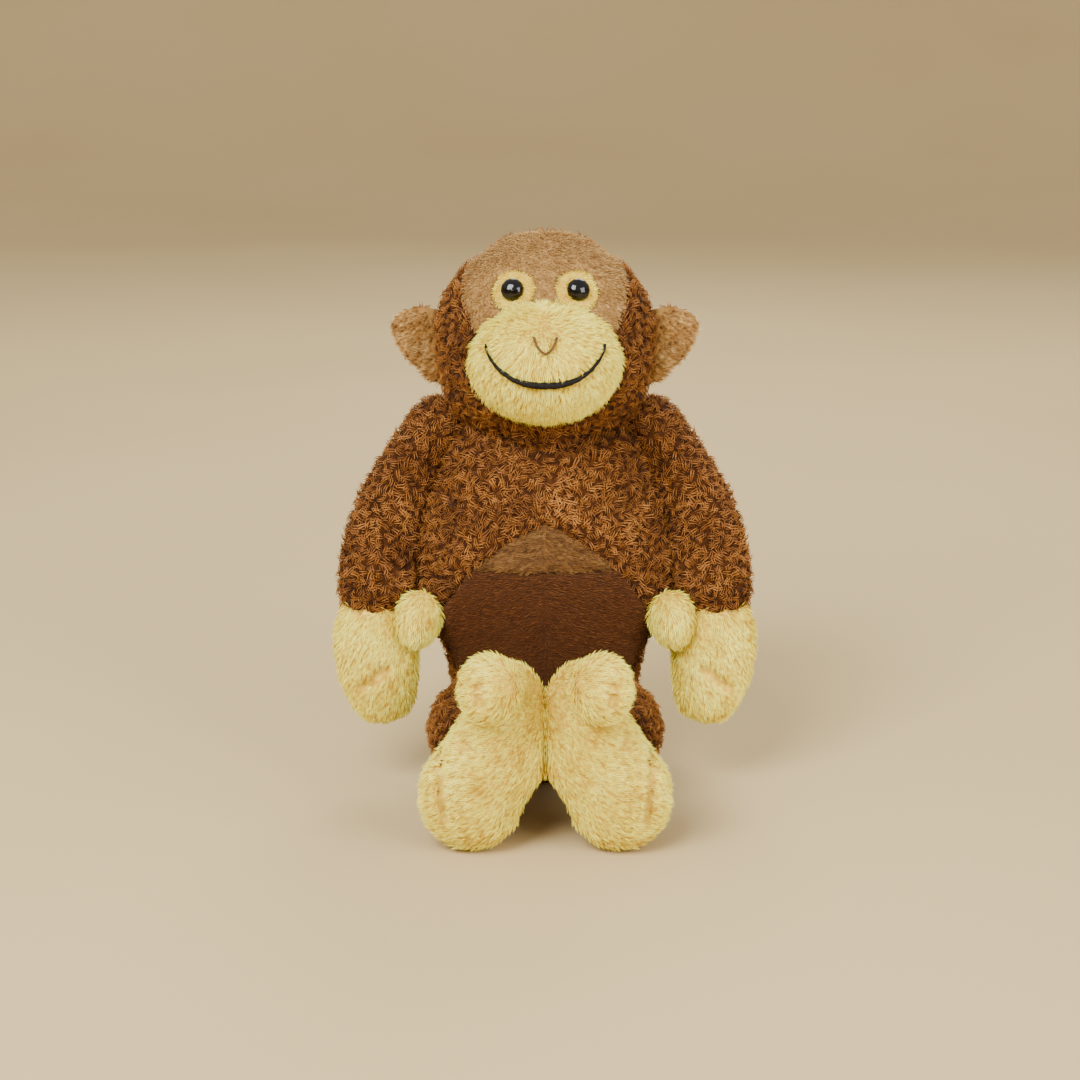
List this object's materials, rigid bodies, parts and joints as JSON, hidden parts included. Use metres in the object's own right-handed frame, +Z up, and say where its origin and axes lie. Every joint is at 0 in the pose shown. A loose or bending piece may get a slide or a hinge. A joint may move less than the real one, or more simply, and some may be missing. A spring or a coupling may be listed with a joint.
{
  "type": "stuffed monkey",
  "caption": "Seated plush monkey with curly brown pile, cream muzzle, hands and feet, and jointed head, ears, arms, hands, legs and feet.",
  "frame": {"origin": "middle of the flat seat that the toy sits on", "axes": "+Z up, the face looks along -Y, +X is the toy's own left side"},
  "size_m": [0.1916, 0.1775, 0.2552],
  "materials": {
    "brown_plush": "curly brown pile",
    "cream_plush": "long soft cream pile",
    "face_plush": "short tan pile",
    "ear_plush": "tan pile with a streaky nap",
    "belly_velour": "short dark brown velour",
    "gusset_velour": "short brown velour, brushed sideways",
    "polyester_filling": "loose white fibre",
    "pellet_bag": "cotton bag of pellets",
    "black_plastic": "gloss",
    "white_plastic": "matt",
    "black_thread": "satin thread",
    "brown_thread": "thin thread"
  },
  "bodies": {
    "torso": {"seat_panel": "brown_plush", "chest_front": "brown_plush", "belly_gusset": "gusset_velour", "belly_panel": "belly_velour", "back_panel_left": "brown_plush", "back_panel_right": "brown_plush", "pellet_pouch": "pellet_bag", "torso_stuffing": "polyester_filling"},
    "neck": {"neck_plug": "brown_plush"},
    "head": {"hood_left": "brown_plush", "hood_right": "brown_plush", "face_panel": "face_plush", "muzzle_top": "cream_plush", "chin": "cream_plush", "eye_patch_left": "cream_plush", "eye_patch_right": "cream_plush", "eye_left": "black_plastic", "eye_right": "black_plastic", "eye_washer_left": "white_plastic", "eye_washer_right": "white_plastic", "head_stuffing": "polyester_filling", "smile_stitch": "black_thread", "nose_stitch": "brown_thread"},
    "left_ear": {"ear_front_left": "ear_plush", "ear_back_left": "brown_plush"},
    "left_arm": {"sleeve_left": "brown_plush", "arm_stuffing_left": "polyester_filling"},
    "left_hand": {"hand_left": "cream_plush", "hand_stuffing_left": "polyester_filling"},
    "left_thumb": {"thumb_left": "cream_plush"},
    "left_leg": {"leg_left": "brown_plush", "leg_stuffing_left": "polyester_filling"},
    "left_foot": {"foot_sole_left": "cream_plush", "foot_upper_left": "cream_plush", "foot_stuffing_left": "polyester_filling"},
    "left_big_toe": {"big_toe_left": "cream_plush"},
    "right_ear": {"ear_front_right": "ear_plush", "ear_back_right": "brown_plush"},
    "right_arm": {"sleeve_right": "brown_plush", "arm_stuffing_right": "polyester_filling"},
    "right_hand": {"hand_right": "cream_plush", "hand_stuffing_right": "polyester_filling"},
    "right_thumb": {"thumb_right": "cream_plush"},
    "right_leg": {"leg_right": "brown_plush", "leg_stuffing_right": "polyester_filling"},
    "right_foot": {"foot_sole_right": "cream_plush", "foot_upper_right": "cream_plush", "foot_stuffing_right": "polyester_filling"},
    "right_big_toe": {"big_toe_right": "cream_plush"}
  },
  "joints": [
    {"name": "neck_turn", "type": "hinge", "parent": "torso", "child": "neck", "pos_m": [0, -0.005, 0.17], "axis": [0, 0, 1], "range_deg": [-30, 30]},
    {"name": "neck_nod", "type": "hinge", "parent": "neck", "child": "head", "pos_m": [0, -0.005, 0.17], "axis": [1, 0, 0], "range_deg": [-4, 10]},
    {"name": "left_ear_fold", "type": "hinge", "parent": "head", "child": "left_ear", "pos_m": [0.0495, 0.00397, 0.20398], "axis": [0, 0.225, 0.9744], "range_deg": [-20, 20]},
    {"name": "left_shoulder", "type": "hinge", "parent": "torso", "child": "left_arm", "pos_m": [0.05, 0, 0.165], "axis": [-1, 0, 0], "range_deg": [-5, 120]},
    {"name": "left_wrist", "type": "hinge", "parent": "left_arm", "child": "left_hand", "pos_m": [0.078, -0.013, 0.092], "axis": [1, 0, 0], "range_deg": [-15, 15]},
    {"name": "left_thumb_root", "type": "hinge", "parent": "left_hand", "child": "left_thumb", "pos_m": [0.064, -0.025, 0.094], "axis": [-0.6222, 0.7828, 0], "range_deg": [0, 15]},
    {"name": "left_hip", "type": "hinge", "parent": "torso", "child": "left_leg", "pos_m": [0.028, -0.029, 0.033], "axis": [1, 0, 0], "range_deg": [-10, 50]},
    {"name": "left_ankle", "type": "hinge", "parent": "left_leg", "child": "left_foot", "pos_m": [0.029, -0.072, 0.042], "axis": [1, 0, 0], "range_deg": [-12, 12]},
    {"name": "left_big_toe_root", "type": "hinge", "parent": "left_foot", "child": "left_big_toe", "pos_m": [0.024, -0.11, 0.066], "axis": [1, 0, 0], "range_deg": [0, 15]},
    {"name": "right_ear_fold", "type": "hinge", "parent": "head", "child": "right_ear", "pos_m": [-0.0495, 0.00397, 0.20398], "axis": [0, 0.225, 0.9744], "range_deg": [-20, 20]},
    {"name": "right_shoulder", "type": "hinge", "parent": "torso", "child": "right_arm", "pos_m": [-0.05, 0, 0.165], "axis": [-1, 0, 0], "range_deg": [-5, 120]},
    {"name": "right_wrist", "type": "hinge", "parent": "right_arm", "child": "right_hand", "pos_m": [-0.078, -0.013, 0.092], "axis": [1, 0, 0], "range_deg": [-15, 15]},
    {"name": "right_thumb_root", "type": "hinge", "parent": "right_hand", "child": "right_thumb", "pos_m": [-0.064, -0.025, 0.094], "axis": [-0.6222, -0.7828, 0], "range_deg": [0, 15]},
    {"name": "right_hip", "type": "hinge", "parent": "torso", "child": "right_leg", "pos_m": [-0.028, -0.029, 0.033], "axis": [1, 0, 0], "range_deg": [-10, 50]},
    {"name": "right_ankle", "type": "hinge", "parent": "right_leg", "child": "right_foot", "pos_m": [-0.029, -0.072, 0.042], "axis": [1, 0, 0], "range_deg": [-12, 12]},
    {"name": "right_big_toe_root", "type": "hinge", "parent": "right_foot", "child": "right_big_toe", "pos_m": [-0.024, -0.11, 0.066], "axis": [1, 0, 0], "range_deg": [0, 15]}
  ]
}
